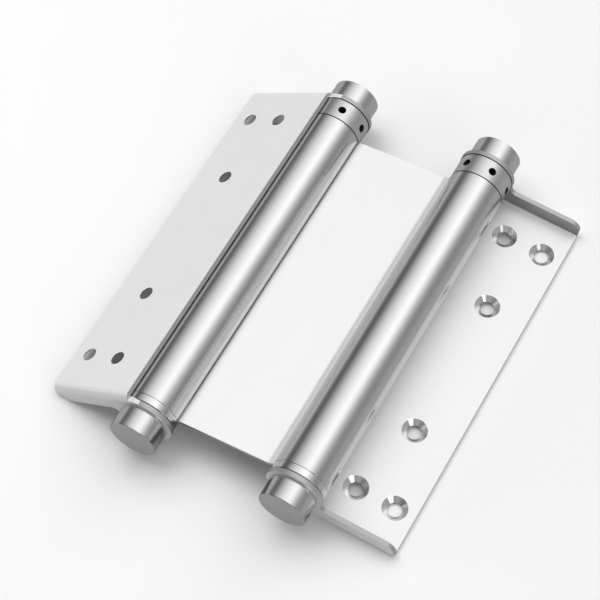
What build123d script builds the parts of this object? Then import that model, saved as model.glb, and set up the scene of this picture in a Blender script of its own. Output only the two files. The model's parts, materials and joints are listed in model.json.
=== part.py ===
from build123d import *
import os
from math import acos, asin, atan, cos, degrees, radians, sin, sqrt, tan

# A double action spring hinge: one centre plate rolled into two barrels, a leaf on each barrel,
# and inside each barrel a spindle and a torsion spring between a fixed bush and a tension collar.
# The hinge stands on its leaves' free edges, barrels along Y, with +Z up and its origin in the
# middle of the area that it stands on.

# Centre plate and barrels
barrel_dia = 25.0
barrel_gap = 46.0
plate_thickness = 1.8
neck_radius = 4.0
seam_gap = 0.4

# Leaves
leaf_length = 176.0
leaf_reach = 47.0
leaf_inner_edge = 0.3
leaf_thickness = 2.0
leaf_running_gap = 0.6
flange_height = 8.9
flange_bend_radius = 3.5
flange_corner_radius = 5.0
ear_overhang = 0.3
ear_neck_radius = 3.0

# Screw holes, countersunk from the side away from the mounting face
screw_hole_dia = 6.5
screw_hole_land = 0.2
countersink_dia = 11.1
end_hole_spacing = 138.0
middle_hole_spacing = 68.0
outer_hole_margin = 9.4
hole_column_gap = 18.2

# How the hinge stands: each leaf's slope down from the floor's level
left_leaf_droop = 32.0
right_leaf_droop = 6.0

# Spindles and their caps
spindle_dia = 8.0
spindle_chamfer = 0.5
cap_dia = 21.5
cap_length = 10.0
cap_wall = 2.0
cap_chamfer = 0.4

# Washers, bushes and collars
washer_thickness = 0.3
washer_inset = 0.7
axial_play = 0.05
running_clearance = 0.05
bush_flange_length = 3.4
bush_spigot_length = 10.0
collar_length = 9.5
collar_spigot_length = 8.5
spigot_clearance = 0.1
rim_chamfer = 0.3
collar_hole_count = 6
collar_hole_dia = 3.6
collar_hole_depth = 7.0
left_hole_angle = 18.5
right_hole_angle = 3.5

# Torsion springs
wire_dia = 3.6
coil_clearance = 1.3
coil_gap = 0.3
spring_bend_radius = 3.0
tang_length = 6.0
tang_clearance = 0.15

# Sizes that follow from the ones above
axis_spacing = barrel_gap + barrel_dia
barrel_radius = barrel_dia / 2
barrel_bore_radius = barrel_radius - plate_thickness
roll_radius = barrel_radius - plate_thickness / 2
neck_mid_radius = neck_radius + plate_thickness / 2
neck_offset = sqrt(roll_radius**2 + 2 * roll_radius * neck_mid_radius)
neck_angle = degrees(asin(neck_mid_radius / (roll_radius + neck_mid_radius)))
seam_angle = degrees(seam_gap / barrel_radius)

leaf_inner_face = barrel_radius + leaf_running_gap
mounting_face = leaf_inner_face + leaf_thickness
flange_edge = mounting_face - flange_height
ear_radius = barrel_radius + ear_overhang
outer_column = leaf_reach - outer_hole_margin
inner_column = outer_column - hole_column_gap
middle_column = (outer_column + inner_column) / 2
countersink_depth = leaf_thickness - screw_hole_land
countersink_slope = atan((countersink_dia - screw_hole_dia) / 2 / countersink_depth)

ear_outer_face = leaf_length / 2
ear_inner_face = ear_outer_face - leaf_thickness
washer_room = washer_thickness + 2 * axial_play
bush_outer_face = ear_inner_face - washer_room
barrel_near_end = bush_flange_length - bush_outer_face
collar_inner_face = ear_inner_face - washer_room - collar_length
barrel_far_end = collar_inner_face - washer_room
bush_spigot_end = barrel_near_end + bush_spigot_length
collar_spigot_end = collar_inner_face - collar_spigot_length
collar_hole_station = collar_inner_face + collar_length / 2

spindle_radius = spindle_dia / 2
spindle_bore_radius = spindle_radius + running_clearance
collar_spigot_radius = barrel_bore_radius - spigot_clearance
spindle_half_length = ear_outer_face + cap_length - cap_wall

wire_radius = wire_dia / 2
coil_radius = barrel_bore_radius - coil_clearance - wire_radius
coil_start = bush_spigot_end + spring_bend_radius
coil_end = collar_spigot_end - spring_bend_radius
coil_pitch = wire_dia + coil_gap
tang_hole_radius = wire_radius + tang_clearance

# Where the axes stand when both free edges touch the floor
left_slope = radians(left_leaf_droop)
right_slope = radians(right_leaf_droop)
corner_reach = leaf_reach - flange_corner_radius
corner_depth = flange_edge + flange_corner_radius
left_axis_height = max(
    corner_reach * sin(left_slope) - corner_depth * cos(left_slope) + flange_corner_radius,
    ear_radius,
)
right_axis_height = max(
    leaf_reach * sin(right_slope) + mounting_face * cos(right_slope),
    ear_radius,
)
plate_tilt = asin((right_axis_height - left_axis_height) / axis_spacing)
left_extent = leaf_reach * cos(left_slope) + mounting_face * sin(left_slope)
right_extent = (
    corner_reach * cos(right_slope) - corner_depth * sin(right_slope) + flange_corner_radius
)
middle_x = (left_extent - right_extent) / 2
middle_z = (left_axis_height + right_axis_height) / 2
half_span_x = axis_spacing / 2 * cos(plate_tilt)

left_axis = Vector(middle_x - half_span_x, 0, left_axis_height)
right_axis = Vector(middle_x + half_span_x, 0, right_axis_height)
left_outward = Vector(-cos(left_slope), 0, -sin(left_slope))
right_outward = Vector(cos(right_slope), 0, -sin(right_slope))
plate_direction = Vector(cos(plate_tilt), 0, sin(plate_tilt))


def end_view(axis, outward, station=0.0):
    """Plane across a barrel: x runs out along the leaf, y towards its mounting face."""
    return Plane(
        origin=axis + Vector(0, station, 0), x_dir=outward, z_dir=Vector(0, 1, 0)
    )


def facing_near(axis, station):
    """Plane across a barrel whose normal points to the near end."""
    return Plane(
        origin=axis + Vector(0, station, 0), x_dir=plate_direction, z_dir=Vector(0, -1, 0)
    )


def facing_far(axis, station):
    """Plane across a barrel whose normal points to the far end."""
    return Plane(
        origin=axis + Vector(0, station, 0), x_dir=plate_direction, z_dir=Vector(0, 1, 0)
    )


def save(part, name):
    """Label a finished piece and write it."""
    part.label = name
    export_step(part, "parts/" + name + ".step")


def make_centre_plate():
    """One sheet: the left barrel is rolled under and round, the right barrel over and round."""
    section_plane = Plane(
        origin=(middle_x, barrel_far_end, middle_z),
        x_dir=plate_direction,
        z_dir=(0, -1, 0),
    )
    axis_x = axis_spacing / 2
    neck_x = axis_x - neck_offset
    half_sheet = plate_thickness / 2
    around = 180 - neck_angle
    with BuildSketch() as half_section:
        with BuildLine():
            top = Line((0, half_sheet), (neck_x, half_sheet))
            hollow = CenterArc((neck_x, neck_mid_radius), neck_radius, -90, 90 - neck_angle)
            outside = CenterArc((axis_x, 0), barrel_radius, around, -(360 - neck_angle - seam_angle))
            inside = CenterArc((axis_x, 0), barrel_bore_radius, around, -(360 - neck_angle - seam_angle))
            Line(outside @ 1, inside @ 1)
            swell = CenterArc(
                (neck_x, neck_mid_radius), neck_radius + plate_thickness, -90, 90 - neck_angle
            )
            bottom = Line((0, -half_sheet), (neck_x, -half_sheet))
            Line(top @ 0, bottom @ 0)
        make_face()
    with BuildPart() as centre_plate:
        with BuildSketch(section_plane):
            with PolarLocations(0, 2):
                add(half_section.sketch)
        extrude(amount=barrel_far_end - barrel_near_end)
    save(centre_plate.part, "centre_plate")


def make_leaf(axis, outward, name):
    """A pressed leaf: flat sheet, two bent end flanges, and in each flange a round ear."""
    across = end_view(axis, outward)
    towards_mount = across.y_dir
    channel_start = Plane(
        origin=axis - outward * ear_radius, x_dir=(0, -1, 0), z_dir=outward
    )
    screw_face = Plane(
        origin=axis + towards_mount * leaf_inner_face, x_dir=outward, z_dir=-towards_mount
    )
    channel_depth = 2 * (mounting_face + ear_radius)
    inner_length = leaf_length - 2 * leaf_thickness
    inner_bend_radius = flange_bend_radius - leaf_thickness
    screw_places = [
        (column, side * spacing / 2)
        for column, spacing in (
            (inner_column, end_hole_spacing),
            (outer_column, end_hole_spacing),
            (middle_column, middle_hole_spacing),
        )
        for side in (-1, 1)
    ]
    with BuildPart() as leaf:
        with BuildSketch(channel_start):
            with Locations((0, mounting_face)):
                RectangleRounded(
                    leaf_length, channel_depth, flange_bend_radius, align=(Align.CENTER, Align.MAX)
                )
            with Locations((0, leaf_inner_face)):
                RectangleRounded(
                    inner_length,
                    channel_depth,
                    inner_bend_radius,
                    align=(Align.CENTER, Align.MAX),
                    mode=Mode.SUBTRACT,
                )
        extrude(amount=ear_radius + leaf_reach)
        with BuildSketch(end_view(axis, outward, -leaf_length / 2)) as outline:
            Circle(ear_radius)
            with Locations((leaf_inner_edge, mounting_face)):
                Rectangle(
                    leaf_reach - leaf_inner_edge, flange_height, align=(Align.MIN, Align.MAX)
                )
            free_corner = outline.vertices().sort_by_distance((leaf_reach, flange_edge))[0]
            fillet(free_corner, flange_corner_radius)
            crossing = sqrt(ear_radius**2 - flange_edge**2)
            ear_corner = outline.vertices().sort_by_distance((crossing, flange_edge))[0]
            fillet(ear_corner, ear_neck_radius)
        extrude(amount=leaf_length, mode=Mode.INTERSECT)
        with BuildSketch(end_view(axis, outward, -leaf_length / 2)):
            Circle(spindle_radius)
        extrude(amount=leaf_length, mode=Mode.SUBTRACT)
        with Locations(screw_face.location):
            with Locations(*screw_places):
                CounterSinkHole(
                    radius=screw_hole_dia / 2,
                    counter_sink_radius=countersink_dia / 2,
                    depth=2 * leaf_thickness,
                    counter_sink_angle=2 * degrees(countersink_slope),
                )
    save(leaf.part, name)


def make_spindle(axis, name):
    """The rod that a barrel turns on, held in both ears and both caps."""
    with BuildPart() as spindle:
        with BuildSketch(facing_far(axis, -spindle_half_length)):
            Circle(spindle_radius)
        extrude(amount=2 * spindle_half_length)
        chamfer(spindle.edges().filter_by(GeomType.CIRCLE), spindle_chamfer)
    save(spindle.part, name)


def make_cap(plane, name):
    """A turned cap, pressed on the spindle's end against the ear."""
    with BuildPart() as cap:
        with BuildSketch(plane):
            Circle(cap_dia / 2)
        extrude(amount=cap_length)
        rims = cap.edges().filter_by(GeomType.CIRCLE)
        chamfer(rims, cap_chamfer)
        with BuildSketch(plane):
            Circle(spindle_radius)
        extrude(amount=cap_length - cap_wall, mode=Mode.SUBTRACT)
    save(cap.part, name)


def make_washer(plane, bore_radius, name):
    """A thin plastic washer between two turning faces."""
    with BuildPart() as washer:
        with BuildSketch(plane):
            Circle(barrel_radius - washer_inset)
            Circle(bore_radius, mode=Mode.SUBTRACT)
        extrude(amount=washer_thickness)
    save(washer.part, name)


def spring_path(axis):
    """The wire's line: straight tang, bend, close coils, bend and straight tang."""
    along = Vector(0, 1, 0)
    start = axis + along * coil_start
    with BuildLine() as path:
        coil = Helix(coil_pitch, coil_end - coil_start, coil_radius, center=start, direction=along)
        bend_reach = spring_bend_radius * tan(acos((coil % 0).Y) / 2)
        near_bend = coil @ 0 - (coil % 0 + along) * bend_reach
        far_bend = coil @ 1 + (coil % 1 + along) * bend_reach
        TangentArc(near_bend, coil @ 0, tangent=along)
        TangentArc(coil @ 1, far_bend, tangent=coil % 1)
        Line(near_bend - along * tang_length, near_bend)
        Line(far_bend, far_bend + along * tang_length)
    return path.wire()


def make_anchor_bush(axis, tang, name):
    """The fixed bush in a barrel's near end, with a blind hole for the spring's tang."""
    with BuildPart() as bush:
        with BuildSketch(facing_far(axis, -bush_outer_face)):
            Circle(barrel_radius)
        extrude(amount=bush_flange_length)
        chamfer(bush.edges().filter_by(GeomType.CIRCLE), rim_chamfer)
        with BuildSketch(facing_far(axis, barrel_near_end)):
            Circle(barrel_bore_radius)
        extrude(amount=bush_spigot_length)
        with BuildSketch(facing_far(axis, -bush_outer_face)):
            Circle(spindle_bore_radius)
        extrude(amount=bush_flange_length + bush_spigot_length, mode=Mode.SUBTRACT)
        with BuildSketch(Plane(origin=(tang.X, bush_spigot_end, tang.Z), z_dir=(0, -1, 0))):
            Circle(tang_hole_radius)
        extrude(amount=tang_length + tang_clearance, mode=Mode.SUBTRACT)
    save(bush.part, name)


def make_tension_collar(axis, tang, first_hole, name):
    """The turning collar with a ring of bar holes and a spigot that holds the spring's tang."""
    with BuildPart() as collar:
        with BuildSketch(facing_far(axis, collar_inner_face)):
            Circle(barrel_radius)
        extrude(amount=collar_length)
        chamfer(collar.edges().filter_by(GeomType.CIRCLE), rim_chamfer)
        with BuildSketch(facing_near(axis, collar_inner_face)):
            Circle(collar_spigot_radius)
        extrude(amount=collar_spigot_length)
        with BuildSketch(facing_far(axis, collar_spigot_end)):
            Circle(spindle_bore_radius)
        extrude(amount=collar_spigot_length + collar_length, mode=Mode.SUBTRACT)
        with BuildSketch(Plane(origin=(tang.X, collar_spigot_end, tang.Z), z_dir=(0, 1, 0))):
            Circle(tang_hole_radius)
        extrude(amount=tang_length + tang_clearance, mode=Mode.SUBTRACT)
        for number in range(collar_hole_count):
            turn = radians(first_hole + number * 360 / collar_hole_count) + plate_tilt
            outwards = Vector(cos(turn), 0, sin(turn))
            centre = axis + Vector(0, collar_hole_station, 0)
            with BuildSketch(Plane(origin=centre + outwards * barrel_radius, z_dir=-outwards)):
                Circle(collar_hole_dia / 2)
            extrude(amount=collar_hole_depth, mode=Mode.SUBTRACT)
    save(collar.part, name)


def make_spring(path, name):
    """A torsion spring wound round the spindle, one tang in the bush and one in the collar."""
    with BuildPart() as spring:
        with BuildSketch(Plane(origin=path @ 0, z_dir=path % 0)):
            Circle(wire_radius)
        sweep(path=path)
    save(spring.part, name)


os.makedirs("parts", exist_ok=True)

make_centre_plate()
for side, axis, outward, first_hole in (
    ("left", left_axis, left_outward, left_hole_angle),
    ("right", right_axis, right_outward, right_hole_angle),
):
    make_leaf(axis, outward, side + "_leaf")
    make_spindle(axis, side + "_spindle")
    make_cap(facing_near(axis, -ear_outer_face), side + "_near_cap")
    make_cap(facing_far(axis, ear_outer_face), side + "_far_cap")
    make_washer(facing_far(axis, axial_play - ear_inner_face), spindle_bore_radius, side + "_near_washer")
    make_washer(facing_near(axis, ear_inner_face - axial_play), spindle_bore_radius, side + "_far_washer")
    make_washer(
        facing_near(axis, collar_inner_face - axial_play),
        collar_spigot_radius + running_clearance,
        side + "_collar_washer",
    )
    path = spring_path(axis)
    make_anchor_bush(axis, path @ 0, side + "_anchor_bush")
    make_tension_collar(axis, path @ 1, first_hole, side + "_tension_collar")
    make_spring(path, side + "_torsion_spring")
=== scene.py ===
import json
from math import asin, atan2, cos, pi, radians, sin, sqrt

import bmesh
import bpy
from mathutils import Matrix, Vector


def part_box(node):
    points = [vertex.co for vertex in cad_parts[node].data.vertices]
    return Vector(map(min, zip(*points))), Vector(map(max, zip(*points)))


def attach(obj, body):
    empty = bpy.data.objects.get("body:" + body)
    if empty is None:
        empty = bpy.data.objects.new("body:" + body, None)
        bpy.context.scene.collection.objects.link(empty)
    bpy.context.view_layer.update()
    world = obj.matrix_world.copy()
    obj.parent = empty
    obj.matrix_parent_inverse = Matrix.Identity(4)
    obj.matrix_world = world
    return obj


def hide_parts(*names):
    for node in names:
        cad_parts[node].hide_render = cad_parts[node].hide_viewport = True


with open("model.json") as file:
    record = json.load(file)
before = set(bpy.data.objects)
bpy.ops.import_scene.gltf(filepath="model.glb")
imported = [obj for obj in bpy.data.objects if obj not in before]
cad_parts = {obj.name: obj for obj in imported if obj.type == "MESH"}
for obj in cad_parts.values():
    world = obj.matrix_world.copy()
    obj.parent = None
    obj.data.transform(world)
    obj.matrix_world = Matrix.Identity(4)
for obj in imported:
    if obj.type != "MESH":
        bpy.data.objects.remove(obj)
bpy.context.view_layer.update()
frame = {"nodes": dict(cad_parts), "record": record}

# All lengths are in metres, given through one millimetre
MM = 0.001
ALONG = Vector((0, 1, 0))
SIDES = ("left", "right")

# Centre plate and barrels
PLATE_THICKNESS = 1.8 * MM
NECK_RADIUS = 4.0 * MM
SEAM_GAP = 0.4 * MM
BARREL_STEPS = 144
NECK_STEPS = 12

# Leaves
LEAF_REACH = 47.0 * MM
LEAF_INNER_EDGE = 0.3 * MM
LEAF_THICKNESS = 2.0 * MM
LEAF_RUNNING_GAP = 0.6 * MM
FLANGE_HEIGHT = 8.9 * MM
FLANGE_BEND_RADIUS = 3.5 * MM
FLANGE_CORNER_RADIUS = 5.0 * MM
EAR_RADIUS = 12.8 * MM
EAR_NECK_RADIUS = 3.0 * MM
BEND_STEPS = 10
EAR_STEPS = 96
SHEET_ROUNDING = 0.22 * MM

# Screw holes
SCREW_ROWS = ("inner", "outer", "middle")
SCREW_HOLE_RADIUS = 3.25 * MM
SCREW_HOLE_LAND = 0.2 * MM
COUNTERSINK_RADIUS = 5.55 * MM
COUNTERSINK_DEPTH = LEAF_THICKNESS - SCREW_HOLE_LAND
HOLE_STEPS = 64

# Caps, rings and collars
CAP_WALL = 2.0 * MM
CAP_ROUNDING = 0.35 * MM
CAP_ROUNDING_STEPS = 3
RIM_ROUNDING = 0.3 * MM
RING_STEPS = 144
SPINDLE_PLAY = 0.05 * MM
COLLAR_END_PLAY = 0.05 * MM
COLLAR_SPIGOT_PLAY = 0.1 * MM
BAR_HOLE_RADIUS = 1.8 * MM
BAR_HOLE_DEPTH = 7.0 * MM
BAR_HOLE_COUNT = 6
FIRST_BAR_HOLE = {"left": radians(18.5), "right": radians(3.5)}
# How far under a collar's outside its faces start to get the painted shade of its bar holes
COLLAR_SKIN = 1.0 * MM

# How the meshes are cut and cleaned
CUT_MARGIN = 2.0 * MM
MERGE_DISTANCE = 0.001 * MM
CUT_MERGE_DISTANCE = 0.002 * MM
FLAT_ANGLE = radians(0.5)
SHARP_ANGLE = radians(28)
ROUND_PROFILE = 0.5

# How squarely a face looks along a direction, from 0 for across it to 1, where its finish changes
END_FACE_SQUARENESS = 0.9
FLANGE_SQUARENESS = 0.6
PLATE_END_SQUARENESS = 0.5
SHEARED_EDGE_SQUARENESS = 0.7
SHEARED_EDGE_SLANT = 0.3
SHEET_FACE_SQUARENESS = 0.95

# How deep the tool marks are, and what handling does to the roughness and the colour
MARK_DEPTH = 0.02 * MM
SMUDGE_SPREAD = 0.08
SMUDGED_TINT = (0.97, 0.97, 0.965)
WIPED_TINT = (1.03, 1.03, 1.03)

# Tool marks per metre along X, Y and Z: drawn along the barrels, rolled in the sheet, turned round
# the axis, ground across, sheared at an edge, or the even grain of moulded plastic
DRAWN = (2500, 10, 2500)
ROLLED = (900, 45, 900)
TURNED = (60, 4000, 60)
GROUND = (3500, 0, 120)
SHEARED = (1500, 150, 300)
GRAINED = (1500, 1500, 1500)

# Camera, found from the photograph's known lengths
CAMERA_PLACE = Vector((247.26, -388.4, 780.13)) * MM
CAMERA_RIGHT = Vector((0.87314, 0.4852, -0.04682))
CAMERA_DOWN = Vector((0.39605, -0.7622, -0.51203))
CAMERA_LENS = 124.9
CAMERA_SENSOR = 36.0
CAMERA_NEAREST = 0.05
CAMERA_FARTHEST = 20

# The floor as the camera sees it, and as the steel mirrors it
FLOOR_HALF_SIZE = 3.0
FLOOR_SHADE = 0.95
MIRRORED_FLOOR_SHADE = 0.50

# How bright the studio is round the barrels, by angle in degrees from +X up and over to -X
STUDIO_BANDS = (
    (-180, 0.45), (-40, 0.40), (0, 0.26), (12, 0.22), (22, 0.22),
    (32, 0.31), (42, 0.46), (52, 0.69), (62, 0.94), (72, 1.0),
    (85, 0.89), (98, 0.75), (112, 0.60), (124, 0.42), (136, 0.24),
    (147, 0.10), (158, 0.09), (168, 0.20), (176, 0.42), (180, 0.45),
)
STUDIO_STRENGTH = 1.6

# The share of that light behind the camera, and where along Y it rises to the whole
ROOM_BEHIND_CAMERA = 0.25
DIM_ROOM_END = -0.4
BRIGHT_ROOM_START = 0.3


def barrel_axis(side):
    """The point on a barrel's axis half way along it, from the spindle's box."""
    low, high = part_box(side + "_spindle")
    return Vector(((low.x + high.x) / 2, 0, (low.z + high.z) / 2))


def radius_of(node):
    """A turned node's largest radius, from its box."""
    low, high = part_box(node)
    return (high.x - low.x) / 2


AXIS = {side: barrel_axis(side) for side in SIDES}
PLATE_DIRECTION = (AXIS["right"] - AXIS["left"]).normalized()
PLATE_UP = PLATE_DIRECTION.cross(ALONG)
MIDDLE = (AXIS["left"] + AXIS["right"]) / 2
HALF_SPACING = (AXIS["right"] - AXIS["left"]).length / 2
CAP_RADIUS = radius_of("left_near_cap")
BARREL_RADIUS = radius_of("left_anchor_bush")
SPINDLE_RADIUS = radius_of("left_spindle")
LEAF_HALF_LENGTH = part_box("left_leaf")[1].y
MOUNTS = {mount["name"]: mount for mount in frame["record"]["mounts"]}

# Heights above a barrel's axis, towards its leaf's mounting face
MOUNTING_FACE = BARREL_RADIUS + LEAF_RUNNING_GAP + LEAF_THICKNESS
FLANGE_EDGE = MOUNTING_FACE - FLANGE_HEIGHT
BEND_START = MOUNTING_FACE - FLANGE_BEND_RADIUS


def new_object(name, bm):
    """Turn a bmesh into a linked object with outward faces."""
    bmesh.ops.remove_doubles(bm, verts=bm.verts, dist=MERGE_DISTANCE)
    bmesh.ops.recalc_face_normals(bm, faces=bm.faces)
    mesh = bpy.data.meshes.new(name)
    bm.to_mesh(mesh)
    bm.free()
    made = bpy.data.objects.new(name, mesh)
    bpy.context.scene.collection.objects.link(made)
    return made


def combine(base, tool, operation):
    """Apply one boolean to a piece and delete the tool."""
    step = base.modifiers.new(operation, "BOOLEAN")
    step.operation = operation
    step.solver = "EXACT"
    step.object = tool
    graph = bpy.context.evaluated_depsgraph_get()
    result = bpy.data.meshes.new_from_object(base.evaluated_get(graph))
    base.modifiers.clear()
    base.data = result
    bpy.data.objects.remove(tool)


def clean_mesh(piece):
    """A bmesh of a piece with its doubled corners merged and its flat faces joined up."""
    bm = bmesh.new()
    bm.from_mesh(piece.data)
    bmesh.ops.remove_doubles(bm, verts=bm.verts, dist=CUT_MERGE_DISTANCE)
    bmesh.ops.dissolve_limit(bm, angle_limit=FLAT_ANGLE, verts=bm.verts, edges=bm.edges)
    return bm


def is_sharp(edge):
    """Do an edge's two faces meet at a real corner?"""
    return edge.is_manifold and edge.calc_face_angle() > SHARP_ANGLE


def shade_curves(piece, bm):
    """Put a bmesh into its piece, smooth on the curves and crisp on the edges."""
    bmesh.ops.recalc_face_normals(bm, faces=bm.faces)
    for face in bm.faces:
        face.smooth = True
    for edge in bm.edges:
        if is_sharp(edge):
            edge.smooth = False
    bm.to_mesh(piece.data)
    bm.free()
    weighted = piece.modifiers.new("even_shading", "WEIGHTED_NORMAL")
    weighted.keep_sharp = True


def soften(piece, rounding, segments=2):
    """Round a piece's sharp edges a little and shade its curved faces smooth."""
    bm = clean_mesh(piece)
    bmesh.ops.bevel(
        bm,
        geom=[edge for edge in bm.edges if is_sharp(edge)],
        offset=rounding,
        segments=segments,
        profile=ROUND_PROFILE,
        affect="EDGES",
        clamp_overlap=True,
        material=-1,
    )
    shade_curves(piece, bm)


def corners_in(geometry):
    """Only the corners of what a bmesh step gave back."""
    return [part for part in geometry if isinstance(part, bmesh.types.BMVert)]


def run(bm, geometry, step):
    """Carry the last edge or corner of a sheet's section straight on."""
    edges = [part for part in geometry if isinstance(part, bmesh.types.BMEdge)]
    if edges:
        verts = corners_in(bmesh.ops.extrude_edge_only(bm, edges=edges)["geom"])
        ends = [e for e in bm.edges if e.verts[0] in verts and e.verts[1] in verts]
        last = verts + ends
    else:
        verts = bmesh.ops.extrude_vert_indiv(bm, verts=corners_in(geometry))["verts"]
        last = verts
    bmesh.ops.translate(bm, vec=step, verts=verts)
    return last


def turn(bm, geometry, centre, axis, angle, steps):
    """Carry the last edge or corner of a sheet's section round a bend."""
    return bmesh.ops.spin(
        bm, geom=geometry, cent=centre, axis=axis, angle=angle, steps=steps, use_duplicate=False
    )["geom_last"]


def thicken(bm, direction):
    """Extrude every face of a flat section by a vector."""
    made = bmesh.ops.extrude_face_region(bm, geom=bm.faces[:])["geom"]
    bmesh.ops.translate(bm, vec=direction, verts=corners_in(made))


def section_start(bm, low, high):
    """The first edge of a sheet's section, across its thickness."""
    ends = [bm.verts.new(low), bm.verts.new(high)]
    return ends + [bm.edges.new(ends)]


def turned_profile(bm, points, centre, axis, steps, closed=False):
    """Turn a row of points once round an axis, as a lathe would."""
    verts = [bm.verts.new(point) for point in points]
    edges = [bm.edges.new(pair) for pair in zip(verts, verts[1:])]
    if closed:
        edges.append(bm.edges.new((verts[-1], verts[0])))
    bmesh.ops.spin(
        bm, geom=verts + edges, cent=centre, axis=axis, angle=2 * pi, steps=steps, use_merge=True
    )


def drill(bm, radius, depth, place):
    """One straight hole, as the round bar that is cut away."""
    bmesh.ops.create_cone(
        bm,
        cap_ends=True,
        segments=HOLE_STEPS,
        radius1=radius,
        radius2=radius,
        depth=depth,
        matrix=place,
    )


def facing(direction, place):
    """The matrix that sets a hole's Z along a direction at a place."""
    matrix = direction.to_track_quat("Z", "X").to_matrix().to_4x4()
    matrix.translation = place
    return matrix


def rolled_plate():
    """The centre plate: flat in the middle, necked up into one barrel and down into the other."""
    roll_radius = BARREL_RADIUS - PLATE_THICKNESS / 2
    neck_mid = NECK_RADIUS + PLATE_THICKNESS / 2
    neck_offset = sqrt(roll_radius**2 + 2 * roll_radius * neck_mid)
    neck_angle = asin(neck_mid / (roll_radius + neck_mid))
    seam_angle = SEAM_GAP / BARREL_RADIUS
    low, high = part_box("centre_plate")
    middle = MIDDLE + ALONG * low.y
    bm = bmesh.new()
    for way in (1, -1):
        direction = PLATE_DIRECTION * way
        up = PLATE_UP * way
        neck = middle + direction * (HALF_SPACING - neck_offset) + up * neck_mid
        barrel = middle + direction * HALF_SPACING
        half_sheet = up * (PLATE_THICKNESS / 2)
        last = section_start(bm, middle - half_sheet, middle + half_sheet)
        last = run(bm, last, direction * (HALF_SPACING - neck_offset))
        last = turn(bm, last, neck, -ALONG, pi / 2 - neck_angle, NECK_STEPS)
        turn(bm, last, barrel, ALONG, 2 * pi - neck_angle - seam_angle, BARREL_STEPS)
    bmesh.ops.remove_doubles(bm, verts=bm.verts, dist=MERGE_DISTANCE)
    thicken(bm, ALONG * (high.y - low.y))
    plate = new_object("rolled_plate", bm)
    soften(plate, SHEET_ROUNDING)
    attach(plate, "centre")
    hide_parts("centre_plate")
    return plate


def leaf_directions(side):
    """Where a leaf's mounting face looks, and the way from its barrel to its free edge."""
    towards_mount = Vector(MOUNTS[side + "_leaf_mounting_face"]["axis"]).normalized()
    return towards_mount, towards_mount.cross(ALONG)


def leaf_spots(side):
    """The function that gives a point by its reach, height and station on a leaf."""
    towards_mount, outward = leaf_directions(side)

    def spot(reach, height, station):
        return AXIS[side] + outward * reach + towards_mount * height + ALONG * station

    return spot


def screw_places(side):
    """The middles of a leaf's six screw holes, on its mounting face."""
    places = []
    for row in SCREW_ROWS:
        pattern = MOUNTS[side + "_leaf_" + row + "_screws"]
        half = pattern["dims"]["pcd_mm"] / 2 * MM
        places += [Vector(pattern["pos_m"]) + ALONG * way for way in (-half, half)]
    return places


def bent_channel(side):
    """A leaf before it is cut out: up one flange, round and along it, and down the other."""
    towards_mount, outward = leaf_directions(side)
    spot = leaf_spots(side)
    below = EAR_RADIUS + CUT_MARGIN
    bend_station = LEAF_HALF_LENGTH - FLANGE_BEND_RADIUS
    bm = bmesh.new()
    last = section_start(
        bm,
        spot(-below, -below, -LEAF_HALF_LENGTH),
        spot(-below, -below, -LEAF_HALF_LENGTH + LEAF_THICKNESS),
    )
    last = run(bm, last, towards_mount * (BEND_START + below))
    last = turn(bm, last, spot(-below, BEND_START, -bend_station), outward, pi / 2, BEND_STEPS)
    last = run(bm, last, ALONG * (2 * bend_station))
    last = turn(bm, last, spot(-below, BEND_START, bend_station), outward, pi / 2, BEND_STEPS)
    run(bm, last, towards_mount * -(BEND_START + below))
    thicken(bm, outward * (LEAF_REACH + below + CUT_MARGIN))
    return new_object(side + "_pressed_leaf", bm)


def leaf_outline(side):
    """A leaf's outline seen from its end: ear, inner edge, free edge, free corner and neck."""
    towards_mount, outward = leaf_directions(side)
    spot = leaf_spots(side)
    end = -LEAF_HALF_LENGTH - CUT_MARGIN
    neck_height = FLANGE_EDGE - EAR_NECK_RADIUS
    neck_reach = sqrt((EAR_RADIUS + EAR_NECK_RADIUS) ** 2 - neck_height**2)
    neck_turn = atan2(neck_height, neck_reach)
    inner_height = sqrt(EAR_RADIUS**2 - LEAF_INNER_EDGE**2)
    ear_sweep = 2 * pi - (atan2(inner_height, LEAF_INNER_EDGE) - neck_turn)
    cut_top = MOUNTING_FACE + CUT_MARGIN
    corner_height = FLANGE_EDGE + FLANGE_CORNER_RADIUS
    corner_reach = LEAF_REACH - FLANGE_CORNER_RADIUS
    bm = bmesh.new()
    last = [bm.verts.new(spot(EAR_RADIUS * cos(neck_turn), EAR_RADIUS * sin(neck_turn), end))]
    last = turn(bm, last, spot(0, 0, end), ALONG, -ear_sweep, EAR_STEPS)
    last = run(bm, corners_in(last), towards_mount * (cut_top - inner_height))
    last = run(bm, last, outward * (LEAF_REACH - LEAF_INNER_EDGE))
    last = run(bm, last, towards_mount * -(cut_top - corner_height))
    last = turn(bm, last, spot(corner_reach, corner_height, end), ALONG, -pi / 2, BEND_STEPS)
    last = run(bm, corners_in(last), outward * -(corner_reach - neck_reach))
    turn(bm, last, spot(neck_reach, neck_height, end), ALONG, pi / 2 + neck_turn, BEND_STEPS)
    bmesh.ops.remove_doubles(bm, verts=bm.verts, dist=MERGE_DISTANCE)
    bmesh.ops.contextual_create(bm, geom=bm.edges[:])
    thicken(bm, ALONG * (-2 * end))
    return new_object(side + "_outline", bm)


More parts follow.
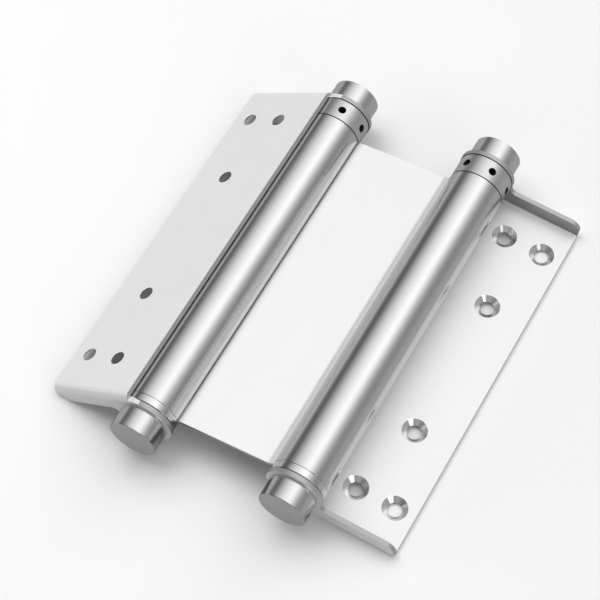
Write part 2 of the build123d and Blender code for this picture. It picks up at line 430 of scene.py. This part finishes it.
def countersunk_hole(bm, place, outward):
    """One screw hole, as the shape that is cut away. outward points to its wide side."""
    flare = (COUNTERSINK_RADIUS - SCREW_HOLE_RADIUS) / COUNTERSINK_DEPTH
    below = -LEAF_THICKNESS - CUT_MARGIN
    corners = (
        (0, below),
        (SCREW_HOLE_RADIUS, below),
        (SCREW_HOLE_RADIUS, -COUNTERSINK_DEPTH),
        (COUNTERSINK_RADIUS + flare * CUT_MARGIN, CUT_MARGIN),
        (0, CUT_MARGIN),
    )
    matrix = facing(outward, place)
    points = [matrix @ Vector((radius, 0, height)) for radius, height in corners]
    turned_profile(bm, points, place, outward, HOLE_STEPS)


def leaf_holes(side):
    """A leaf's screw holes and its ears' holes for the spindle, as one tool."""
    towards_mount = leaf_directions(side)[0]
    bm = bmesh.new()
    for place in screw_places(side):
        countersunk_hole(bm, place - towards_mount * LEAF_THICKNESS, -towards_mount)
    through_both_ears = 2 * (LEAF_HALF_LENGTH + CUT_MARGIN)
    along_axis = Matrix.Translation(AXIS[side]) @ Matrix.Rotation(pi / 2, 4, "X")
    drill(bm, SPINDLE_RADIUS, through_both_ears, along_axis)
    return new_object(side + "_holes", bm)


def pressed_leaf(side):
    """One leaf: bent, cut to its outline, and drilled last so that the holes' rims stay crisp."""
    leaf = bent_channel(side)
    combine(leaf, leaf_outline(side), "INTERSECT")
    soften(leaf, SHEET_ROUNDING)
    combine(leaf, leaf_holes(side), "DIFFERENCE")
    shade_curves(leaf, clean_mesh(leaf))
    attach(leaf, side + "_leaf")
    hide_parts(side + "_leaf")
    return leaf


def turned(name, axis, profile):
    """A turned piece from a profile of (radius, station) corners, closed or ending on the axis."""
    bm = bmesh.new()
    points = [axis + Vector((radius, station, 0)) for radius, station in profile]
    turned_profile(bm, points, axis, ALONG, RING_STEPS, closed=profile[0][0] > 0)
    return new_object(name, bm)


def end_cap(side, end):
    """One cap: a turned cup on the spindle's end."""
    node = side + "_" + end + "_cap"
    low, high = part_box(node)
    inner, outer = (high.y, low.y) if end == "near" else (low.y, high.y)
    bottom = outer + (CAP_WALL if end == "near" else -CAP_WALL)
    profile = (
        (0, outer),
        (CAP_RADIUS, outer),
        (CAP_RADIUS, inner),
        (SPINDLE_RADIUS, inner),
        (SPINDLE_RADIUS, bottom),
        (0, bottom),
    )
    cap = turned(side + "_" + end + "_end_cap", AXIS[side], profile)
    soften(cap, CAP_ROUNDING, CAP_ROUNDING_STEPS)
    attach(cap, side + "_leaf")
    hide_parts(node)
    return cap


def ring_profile(rim, step, spigot_end, spigot):
    """The section of a ring with a spigot: its rim, the barrel's end at the step, the spigot."""
    bore = SPINDLE_RADIUS + SPINDLE_PLAY
    return (
        (bore, rim),
        (BARREL_RADIUS, rim),
        (BARREL_RADIUS, step),
        (spigot, step),
        (spigot, spigot_end),
        (bore, spigot_end),
    )


def plain_ring(side):
    """The fixed bush: a ring flush with the barrel and a spigot inside it."""
    node = side + "_anchor_bush"
    low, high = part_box(node)
    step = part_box("centre_plate")[0].y
    spigot = BARREL_RADIUS - PLATE_THICKNESS
    profile = ring_profile(low.y, step, high.y, spigot)
    ring = turned(side + "_plain_ring", AXIS[side], profile)
    soften(ring, RIM_ROUNDING)
    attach(ring, "centre")
    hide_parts(node)
    return ring


def bar_holes(side, centre):
    """The ring of holes that take the bar, as one tool."""
    tilt = atan2(PLATE_DIRECTION.z, PLATE_DIRECTION.x)
    reach = BARREL_RADIUS + CUT_MARGIN - BAR_HOLE_DEPTH / 2
    bm = bmesh.new()
    for number in range(BAR_HOLE_COUNT):
        angle = FIRST_BAR_HOLE[side] + number * 2 * pi / BAR_HOLE_COUNT + tilt
        outwards = Vector((cos(angle), 0, sin(angle)))
        place = facing(outwards, centre + outwards * reach)
        drill(bm, BAR_HOLE_RADIUS, BAR_HOLE_DEPTH + 2 * CUT_MARGIN, place)
    return new_object(side + "_bar_holes", bm)


def bar_collar(side):
    """The tension collar: a ring with six bar holes and a spigot inside the barrel."""
    node = side + "_tension_collar"
    low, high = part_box(node)
    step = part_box(side + "_collar_washer")[1].y + COLLAR_END_PLAY
    spigot = BARREL_RADIUS - PLATE_THICKNESS - COLLAR_SPIGOT_PLAY
    profile = ring_profile(high.y, step, low.y, spigot)
    collar = turned(side + "_bar_collar", AXIS[side], profile)
    centre = AXIS[side] + ALONG * ((step + high.y) / 2)
    combine(collar, bar_holes(side, centre), "DIFFERENCE")
    soften(collar, RIM_ROUNDING)
    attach(collar, side + "_collar")
    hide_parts(node)
    return collar


def add_sockets(group, way, kind, names):
    """Add named sockets of one kind to a node group, on its input or its output side."""
    for name in names:
        group.interface.new_socket(name=name, in_out=way, socket_type=kind)


def noise(nodes, links, place, scale, detail, roughness, distortion=0.0):
    """The grey of a Noise texture that reads the given place."""
    made = nodes.new("ShaderNodeTexNoise")
    made.inputs["Scale"].default_value = scale
    made.inputs["Detail"].default_value = detail
    made.inputs["Roughness"].default_value = roughness
    made.inputs["Distortion"].default_value = distortion
    links.new(place, made.inputs["Vector"])
    return made.outputs["Fac"]


def sum_of(nodes, links, first, second, factor):
    """A Math node that gives first + second * factor, where second is centred on a half."""
    centred = nodes.new("ShaderNodeMath")
    centred.operation = "SUBTRACT"
    centred.inputs[1].default_value = 0.5
    links.new(second, centred.inputs[0])
    total = nodes.new("ShaderNodeMath")
    total.operation = "MULTIPLY_ADD"
    links.new(centred.outputs[0], total.inputs[0])
    links.new(factor, total.inputs[1])
    links.new(first, total.inputs[2])
    return total.outputs[0]


def tool_marks_group():
    """Marks of the brush or the lathe, with the smudges of handling over them.

    Marks per metre says how often they change along X, Y and Z: a low number draws them out.
    """
    group = bpy.data.node_groups.new("tool_marks", "ShaderNodeTree")
    add_sockets(group, "INPUT", "NodeSocketVector", ("Marks per metre",))
    add_sockets(group, "INPUT", "NodeSocketFloat", ("Roughness", "Mark spread", "Smudge spread"))
    add_sockets(group, "OUTPUT", "NodeSocketFloat", ("Height", "Roughness", "Smudge"))
    nodes, links = group.nodes, group.links
    given = nodes.new("NodeGroupInput").outputs
    out = nodes.new("NodeGroupOutput").inputs
    place = nodes.new("ShaderNodeTexCoord").outputs["Object"]
    stretched = nodes.new("ShaderNodeVectorMath")
    stretched.operation = "MULTIPLY"
    links.new(place, stretched.inputs[0])
    links.new(given["Marks per metre"], stretched.inputs[1])
    marks = noise(nodes, links, stretched.outputs[0], scale=1.0, detail=3.0, roughness=0.6)
    smudges = noise(nodes, links, place, scale=45.0, detail=4.0, roughness=0.65, distortion=0.6)
    marked = sum_of(nodes, links, given["Roughness"], marks, given["Mark spread"])
    total = sum_of(nodes, links, marked, smudges, given["Smudge spread"])
    links.new(marks, out["Height"])
    links.new(total, out["Roughness"])
    links.new(smudges, out["Smudge"])


def tinted(shade, tint):
    """A grey of the given shade, tinted a little."""
    return tuple(shade * part for part in tint) + (1,)


def steel(name, shade, metallic, roughness, marks, spread, bump):
    """A steel finish. spread says how far its tool marks change the roughness."""
    material = bpy.data.materials.new(name)
    material.use_nodes = True
    nodes, links = material.node_tree.nodes, material.node_tree.links
    shader = nodes["Principled BSDF"]
    shader.inputs["Metallic"].default_value = metallic
    surface = nodes.new("ShaderNodeGroup")
    surface.node_tree = bpy.data.node_groups["tool_marks"]
    surface.inputs["Marks per metre"].default_value = marks
    surface.inputs["Roughness"].default_value = roughness
    surface.inputs["Mark spread"].default_value = spread
    surface.inputs["Smudge spread"].default_value = SMUDGE_SPREAD
    links.new(surface.outputs["Roughness"], shader.inputs["Roughness"])
    handled = nodes.new("ShaderNodeMix")
    handled.data_type = "RGBA"
    handled.inputs["A"].default_value = tinted(shade, SMUDGED_TINT)
    handled.inputs["B"].default_value = tinted(shade, WIPED_TINT)
    links.new(surface.outputs["Smudge"], handled.inputs["Factor"])
    links.new(handled.outputs["Result"], shader.inputs["Base Color"])
    height = nodes.new("ShaderNodeBump")
    height.inputs["Strength"].default_value = bump
    height.inputs["Distance"].default_value = MARK_DEPTH
    links.new(surface.outputs["Height"], height.inputs["Height"])
    links.new(height.outputs["Normal"], shader.inputs["Normal"])
    return material


def plastic(name, shade, roughness):
    """Moulded plastic with a fine even grain."""
    return steel(
        name, shade, metallic=0.0, roughness=roughness, marks=GRAINED, spread=0.1, bump=0.3
    )


def finish(piece, main, *others):
    """Give a piece its main material, and each other material on the faces chosen for it."""
    piece.data.materials.append(main)
    for index, (material, chosen) in enumerate(others, 1):
        piece.data.materials.append(material)
        for face in piece.data.polygons:
            if chosen(face):
                face.material_index = index


def on_flat_plate(face):
    """Is this face on the centre plate, with the start of its two necks?"""
    if abs(face.normal.y) > PLATE_END_SQUARENESS:
        return False
    along_plate = (face.center - MIDDLE).dot(PLATE_DIRECTION)
    return abs(along_plate) < HALF_SPACING - BARREL_RADIUS


def on_end_face(face):
    """Is this face square to the barrels?"""
    return abs(face.normal.y) > END_FACE_SQUARENESS


def on_flange(face):
    """Is this face on a leaf's bent flange or its ear?"""
    return abs(face.normal.y) > FLANGE_SQUARENESS


def inside_flange(face):
    """Is this face on the side of a flange that looks towards the other flange, which gets a dark
    painted shade?
    """
    return on_flange(face) and face.normal.y * face.center.y < 0


def on_cut_edge(side):
    """Make the choice of a leaf's outline, where the sheet was sheared."""
    towards_mount, outward = leaf_directions(side)

    def chosen(face):
        if abs(face.normal.y) > SHEARED_EDGE_SLANT:
            return False
        height = (face.center - AXIS[side]).dot(towards_mount)
        return abs(face.normal.dot(outward)) > SHEARED_EDGE_SQUARENESS or height < BEND_START

    return chosen


def in_screw_hole(side):
    """Make the choice of the countersunk walls of a leaf's screw holes."""
    towards_mount = leaf_directions(side)[0]
    places = screw_places(side)

    def chosen(face):
        if abs(face.normal.dot(towards_mount)) > SHEET_FACE_SQUARENESS:
            return False
        return min((face.center - place).length for place in places) < COUNTERSINK_RADIUS

    return chosen


def in_bar_hole(side):
    """Make the choice of a collar's faces closer to its axis than its skin, such as its bar holes'
    walls, which get a dark painted shade.
    """

    def chosen(face):
        from_axis = face.center - AXIS[side]
        from_axis.y = 0
        return from_axis.length < BARREL_RADIUS - COLLAR_SKIN

    return chosen


def floor():
    """A plain pale floor that keeps the object's shadow, and looks greyer in the polished steel."""
    bm = bmesh.new()
    bmesh.ops.create_grid(bm, x_segments=1, y_segments=1, size=FLOOR_HALF_SIZE)
    ground = new_object("floor", bm)
    material = bpy.data.materials.new("pale_floor")
    material.use_nodes = True
    nodes, links = material.node_tree.nodes, material.node_tree.links
    nodes.clear()
    path = nodes.new("ShaderNodeLightPath")
    mix = nodes.new("ShaderNodeMixShader")
    links.new(path.outputs["Is Glossy Ray"], mix.inputs["Fac"])
    for number, shade in enumerate((FLOOR_SHADE, MIRRORED_FLOOR_SHADE), 1):
        surface = nodes.new("ShaderNodeBsdfDiffuse")
        surface.inputs["Color"].default_value = (shade, shade, shade, 1)
        links.new(surface.outputs[0], mix.inputs[number])
    out = nodes.new("ShaderNodeOutputMaterial")
    links.new(mix.outputs[0], out.inputs["Surface"])
    ground.data.materials.append(material)


def light_bands(nodes, links, direction):
    """The bands' colour for a direction, by its angle round the barrels."""
    angle = nodes.new("ShaderNodeMath")
    angle.operation = "ARCTAN2"
    links.new(direction["Z"], angle.inputs[0])
    links.new(direction["X"], angle.inputs[1])
    turned_share = nodes.new("ShaderNodeMapRange")
    turned_share.inputs["From Min"].default_value = -pi
    turned_share.inputs["From Max"].default_value = pi
    links.new(angle.outputs[0], turned_share.inputs["Value"])
    bands = nodes.new("ShaderNodeValToRGB")
    bands.color_ramp.interpolation = "EASE"
    elements = bands.color_ramp.elements
    elements.remove(elements[1])
    elements[0].position = 0
    for number, (band_angle, level) in enumerate(STUDIO_BANDS):
        share = (band_angle + 180) / 360
        element = elements[0] if number == 0 else elements.new(share)
        element.color = (level, level, level, 1)
    links.new(turned_share.outputs[0], bands.inputs["Fac"])
    return bands.outputs["Color"]


def room_share(nodes, links, direction):
    """How much of the bands' light comes from a direction, less behind the camera."""
    depth = nodes.new("ShaderNodeMapRange")
    depth.interpolation_type = "SMOOTHSTEP"
    depth.inputs["From Min"].default_value = DIM_ROOM_END
    depth.inputs["From Max"].default_value = BRIGHT_ROOM_START
    depth.inputs["To Min"].default_value = ROOM_BEHIND_CAMERA
    depth.inputs["To Max"].default_value = 1.0
    links.new(direction["Y"], depth.inputs["Value"])
    return depth.outputs[0]


def studio_world():
    """A pale studio with bands that run along the barrels, and plain white where it is seen."""
    world = bpy.data.worlds.new("studio")
    bpy.context.scene.world = world
    world.use_nodes = True
    nodes, links = world.node_tree.nodes, world.node_tree.links
    nodes.clear()
    place = nodes.new("ShaderNodeTexCoord")
    split = nodes.new("ShaderNodeSeparateXYZ")
    links.new(place.outputs["Generated"], split.inputs[0])
    room = nodes.new("ShaderNodeVectorMath")
    room.operation = "SCALE"
    links.new(light_bands(nodes, links, split.outputs), room.inputs[0])
    links.new(room_share(nodes, links, split.outputs), room.inputs["Scale"])
    lit = nodes.new("ShaderNodeBackground")
    lit.inputs["Strength"].default_value = STUDIO_STRENGTH
    links.new(room.outputs[0], lit.inputs["Color"])
    seen = nodes.new("ShaderNodeBackground")
    seen.inputs["Color"].default_value = (1, 1, 1, 1)
    seen.inputs["Strength"].default_value = 1.0
    path = nodes.new("ShaderNodeLightPath")
    mix = nodes.new("ShaderNodeMixShader")
    links.new(path.outputs["Is Camera Ray"], mix.inputs["Fac"])
    links.new(lit.outputs[0], mix.inputs[1])
    links.new(seen.outputs[0], mix.inputs[2])
    out = nodes.new("ShaderNodeOutputWorld")
    links.new(mix.outputs[0], out.inputs["Surface"])


def soft_lamp(name, place, size, power, mirrored):
    """One large soft lamp aimed at the hinge, and whether the polished steel mirrors it."""
    data = bpy.data.lights.new(name, "AREA")
    data.shape = "DISK"
    data.size = size
    data.energy = power
    lamp = bpy.data.objects.new(name, data)
    bpy.context.scene.collection.objects.link(lamp)
    lamp.location = place
    lamp.rotation_mode = "QUATERNION"
    lamp.rotation_quaternion = (-Vector(place)).to_track_quat("-Z", "Y")
    lamp.visible_glossy = mirrored
    lamp.visible_camera = False


def camera():
    """The photograph's camera."""
    data = bpy.data.cameras.new("camera")
    data.lens = CAMERA_LENS
    data.sensor_width = CAMERA_SENSOR
    data.clip_start = CAMERA_NEAREST
    data.clip_end = CAMERA_FARTHEST
    made = bpy.data.objects.new("camera", data)
    bpy.context.scene.collection.objects.link(made)
    right = CAMERA_RIGHT.normalized()
    back = right.cross(-CAMERA_DOWN).normalized()
    up = back.cross(right)
    placed = Matrix((right, up, back)).transposed().to_4x4()
    placed.translation = CAMERA_PLACE
    made.matrix_world = placed
    bpy.context.scene.camera = made


camera()
tool_marks_group()

barrel_polish = steel(
    "barrel_polish", shade=0.63, metallic=1.0, roughness=0.20, marks=DRAWN, spread=0.08, bump=0.12
)
plate_satin = steel(
    "plate_satin", shade=0.92, metallic=0.50, roughness=0.36, marks=DRAWN, spread=0.10, bump=0.10
)
leaf_satin = steel(
    "leaf_satin", shade=0.88, metallic=0.24, roughness=0.42, marks=ROLLED, spread=0.10, bump=0.10
)
# The leaves' own satin made a little darker and more metallic on the flanges and ears: partly painted
# shade
flange_satin_and_painted_shade = steel(
    "flange_satin_and_painted_shade", shade=0.84, metallic=0.45, roughness=0.38, marks=ROLLED, spread=0.10, bump=0.10
)
# A dark copy of the flanges' finish: painted shade on the sides of the flanges and ears that face each
# other
flange_inside_painted_shade = steel(
    "flange_inside_painted_shade", shade=0.36, metallic=0.85, roughness=0.42, marks=ROLLED, spread=0.10, bump=0.10
)
sheared_edge = steel(
    "sheared_edge", shade=0.50, metallic=0.85, roughness=0.50, marks=SHEARED, spread=0.15, bump=0.30
)
countersink_cut = steel(
    "countersink_cut", shade=0.88, metallic=1.0, roughness=0.24, marks=TURNED, spread=0.10, bump=0.10
)
cap_turning = steel(
    "cap_turning", shade=0.62, metallic=1.0, roughness=0.24, marks=TURNED, spread=0.08, bump=0.10
)
cap_face_grinding = steel(
    "cap_face_grinding", shade=0.62, metallic=0.9, roughness=0.48, marks=GROUND, spread=0.15, bump=0.25
)
ring_polish = steel(
    "ring_polish", shade=0.65, metallic=1.0, roughness=0.13, marks=TURNED, spread=0.06, bump=0.05
)
collar_turning = steel(
    "collar_turning", shade=0.60, metallic=0.95, roughness=0.32, marks=TURNED, spread=0.08, bump=0.10
)
# Near black: painted shade inside the collars' bar holes and on the faces that lie as deep as them
hole_painted_shade = steel(
    "hole_painted_shade", shade=0.06, metallic=0.6, roughness=0.60, marks=SHEARED, spread=0.15, bump=0.30
)
spring_wire = steel(
    "spring_wire", shade=0.30, metallic=1.0, roughness=0.35, marks=ROLLED, spread=0.10, bump=0.20
)
washer_black = plastic("washer_black", shade=0.03, roughness=0.55)

finish(rolled_plate(), barrel_polish, (plate_satin, on_flat_plate))
for side in SIDES:
    # The flanges and ears get a slightly darker painted shade, and the flanges' facing sides a dark
    # one
    finish(
        pressed_leaf(side),
        leaf_satin,
        (flange_satin_and_painted_shade, on_flange),
        (flange_inside_painted_shade, inside_flange),
        (sheared_edge, on_cut_edge(side)),
        (countersink_cut, in_screw_hole(side)),
    )
    for end in ("near", "far"):
        finish(end_cap(side, end), cap_turning, (cap_face_grinding, on_end_face))
    finish(plain_ring(side), ring_polish)
    finish(bar_collar(side), collar_turning, (hole_painted_shade, in_bar_hole(side)))

# The CAD's own spindles, springs and washers only get their finish
node_finish = {"spindle": cap_turning, "torsion_spring": spring_wire, "washer": washer_black}
for name, node in frame["nodes"].items():
    for ending, material in node_finish.items():
        if name.endswith(ending):
            node.data.materials.clear()
            node.data.materials.append(material)

floor()
studio_world()
soft_lamp("overhead_lamp", (-0.65, 0.15, 1.38), size=1.2, power=9, mirrored=False)
soft_lamp("right_lamp", (1.23, -0.65, 0.55), size=0.7, power=3, mirrored=True)
soft_lamp("left_lamp", (-1.20, -0.75, 0.30), size=0.8, power=4, mirrored=False)
bpy.context.scene.view_settings.view_transform = "Standard"
